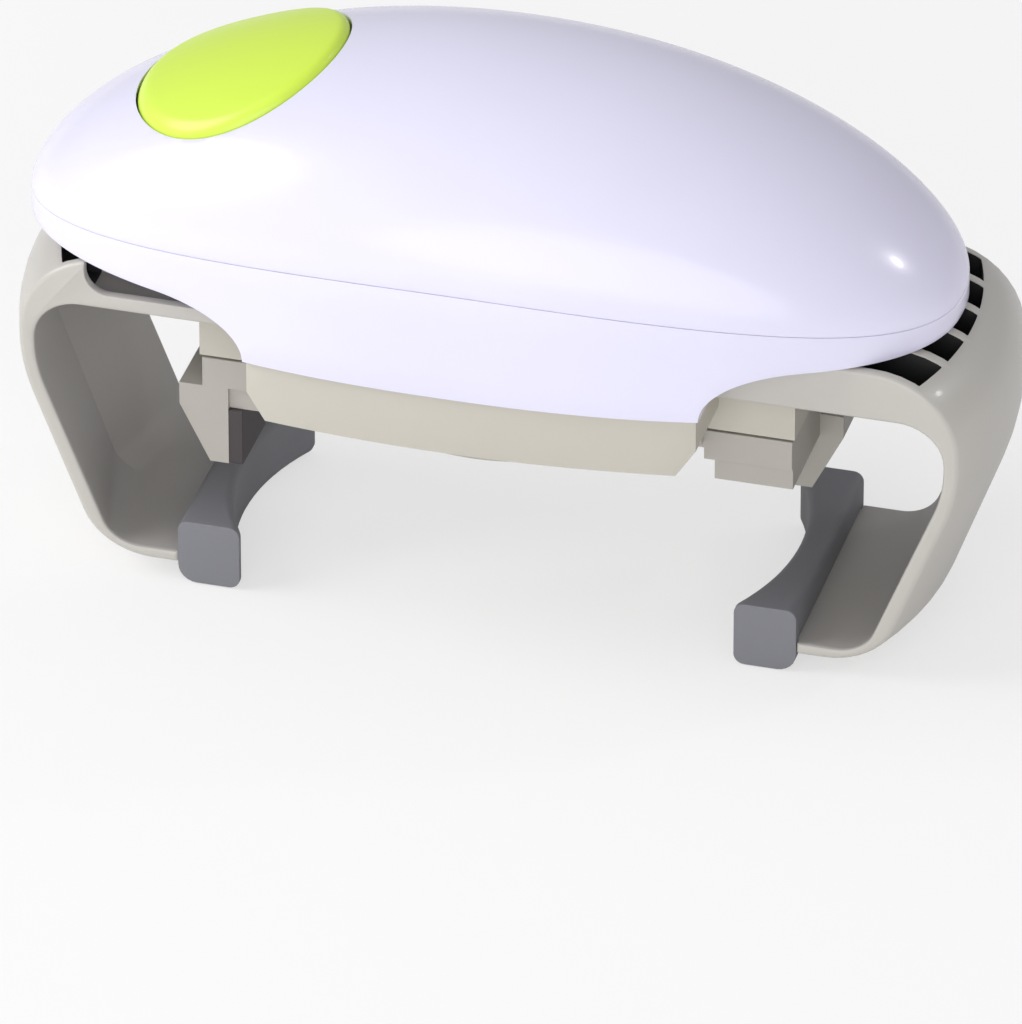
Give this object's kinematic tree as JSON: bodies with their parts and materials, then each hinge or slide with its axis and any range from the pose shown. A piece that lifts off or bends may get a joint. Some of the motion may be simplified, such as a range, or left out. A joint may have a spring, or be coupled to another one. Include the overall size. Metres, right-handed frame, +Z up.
{
  "type": "jar opener",
  "caption": "Battery jar opener: a domed white head with a green start button, two sliding arms with rubber pads that grip a jar, and two lid jaws on a turntable.",
  "frame": {"origin": "jar axis at the feet of the arm pads, under the middle of the space between the arms", "axes": "+Z up, +X along the head towards the end away from the start button, -Y the front"},
  "size_m": [0.208, 0.088, 0.1205],
  "materials": {
    "cover_white": "glossy moulded ABS",
    "button_green": "satin moulded ABS",
    "frame_gray": "satin",
    "arm_gray": "satin",
    "jaw_gray": "satin",
    "pad_rubber": "matte",
    "jaw_rubber": "matte",
    "gear_acetal": "satin",
    "steel": "plain",
    "motor_steel": "plain",
    "brass": "machined",
    "cell_wrap": "satin sleeve",
    "holder_black": "matte",
    "switch_black": "matte",
    "board_green": "lacquered"
  },
  "bodies": {
    "head": {"upper_cover": "cover_white", "lower_shell": "cover_white", "base_frame": "frame_gray", "thrust_washer": "gear_acetal", "gear_axles": "steel", "gear_frame": "frame_gray", "motor_plate": "steel", "motor_body": "motor_steel", "battery_lower": "cell_wrap", "battery_upper": "cell_wrap", "battery_holder": "holder_black", "battery_contacts": "steel", "button_spring": "steel", "button_switch": "switch_black", "circuit_board": "board_green", "housing_screws": "steel", "frame_screws": "steel"},
    "start_button": {"start_button": "button_green"},
    "switch_plunger": {"switch_plunger": "switch_black"},
    "arm_left": {"arm_left": "arm_gray", "arm_pad_left": "pad_rubber"},
    "arm_right": {"arm_right": "arm_gray", "arm_pad_right": "pad_rubber"},
    "arm_pinion": {"arm_pinion": "gear_acetal"},
    "turntable": {"turntable": "frame_gray", "output_gear": "gear_acetal"},
    "jaw_left": {"jaw_left": "jaw_gray", "jaw_pad_left": "jaw_rubber"},
    "jaw_right": {"jaw_right": "jaw_gray", "jaw_pad_right": "jaw_rubber"},
    "jaw_pinion": {"jaw_pinion": "steel", "spindle_clip": "steel"},
    "first_gear": {"first_gear": "gear_acetal"},
    "second_gear": {"second_gear": "gear_acetal"},
    "motor_shaft": {"motor_pinion": "brass"},
    "battery_door": {"battery_door": "cover_white"}
  },
  "joints": [
    {"name": "button_press", "type": "slide", "parent": "head", "child": "start_button", "axis": [0, 0, -1], "range_m": [0, 0.0025], "stiffness_N_per_m": 400, "springref_m": -0.0015, "deforming": ["button_spring"]},
    {"name": "plunger_press", "type": "slide", "parent": "head", "child": "switch_plunger", "axis": [0, 0, -1], "range_m": [0, 0.0025]},
    {"name": "arm_slide_left", "type": "slide", "parent": "head", "child": "arm_left", "axis": [-1, 0, 0], "range_m": [-0.024, 0.001]},
    {"name": "arm_slide_right", "type": "slide", "parent": "head", "child": "arm_right", "axis": [1, 0, 0], "range_m": [-0.024, 0.001]},
    {"name": "arm_pinion_turn", "type": "hinge", "parent": "head", "child": "arm_pinion", "pos_m": [0, 0, 0.068], "axis": [0, 0, 1], "range_deg": [-138, 6]},
    {"name": "turntable_turn", "type": "hinge", "parent": "head", "child": "turntable", "pos_m": [0, 0, 0.052], "axis": [0, 0, 1], "continuous": true},
    {"name": "jaw_slide_left", "type": "slide", "parent": "turntable", "child": "jaw_left", "axis": [-1, 0, 0], "range_m": [-0.033, 0]},
    {"name": "jaw_slide_right", "type": "slide", "parent": "turntable", "child": "jaw_right", "axis": [1, 0, 0], "range_m": [-0.033, 0]},
    {"name": "jaw_pinion_turn", "type": "hinge", "parent": "turntable", "child": "jaw_pinion", "pos_m": [0, 0, 0.0528], "axis": [0, 0, 1], "range_deg": [-271, 0]},
    {"name": "first_gear_turn", "type": "hinge", "parent": "head", "child": "first_gear", "pos_m": [0.01838, -0.01543, 0.08], "axis": [0, 0, 1], "continuous": true},
    {"name": "second_gear_turn", "type": "hinge", "parent": "head", "child": "second_gear", "pos_m": [0.03252, -0.00883, 0.084], "axis": [0, 0, 1], "continuous": true},
    {"name": "motor_turn", "type": "hinge", "parent": "head", "child": "motor_shaft", "pos_m": [0.02161, -0.00253, 0.087], "axis": [0, 0, 1], "continuous": true},
    {"name": "battery_door_turn", "type": "hinge", "parent": "head", "child": "battery_door", "pos_m": [0, 0.0442, 0.0896], "axis": [-1, 0, 0], "range_deg": [0, 80]}
  ],
  "couplings": [
    {"joint": "plunger_press", "follows": "button_press", "ratio": 1},
    {"joint": "arm_slide_right", "follows": "arm_slide_left", "ratio": 1},
    {"joint": "arm_pinion_turn", "follows": "arm_slide_left", "rad_per_m": 100},
    {"joint": "jaw_slide_right", "follows": "jaw_slide_left", "ratio": 1},
    {"joint": "jaw_pinion_turn", "follows": "jaw_slide_left", "rad_per_m": 142.86},
    {"joint": "first_gear_turn", "follows": "turntable_turn", "ratio": -3},
    {"joint": "second_gear_turn", "follows": "turntable_turn", "ratio": 9},
    {"joint": "motor_turn", "follows": "turntable_turn", "ratio": -22.5}
  ]
}
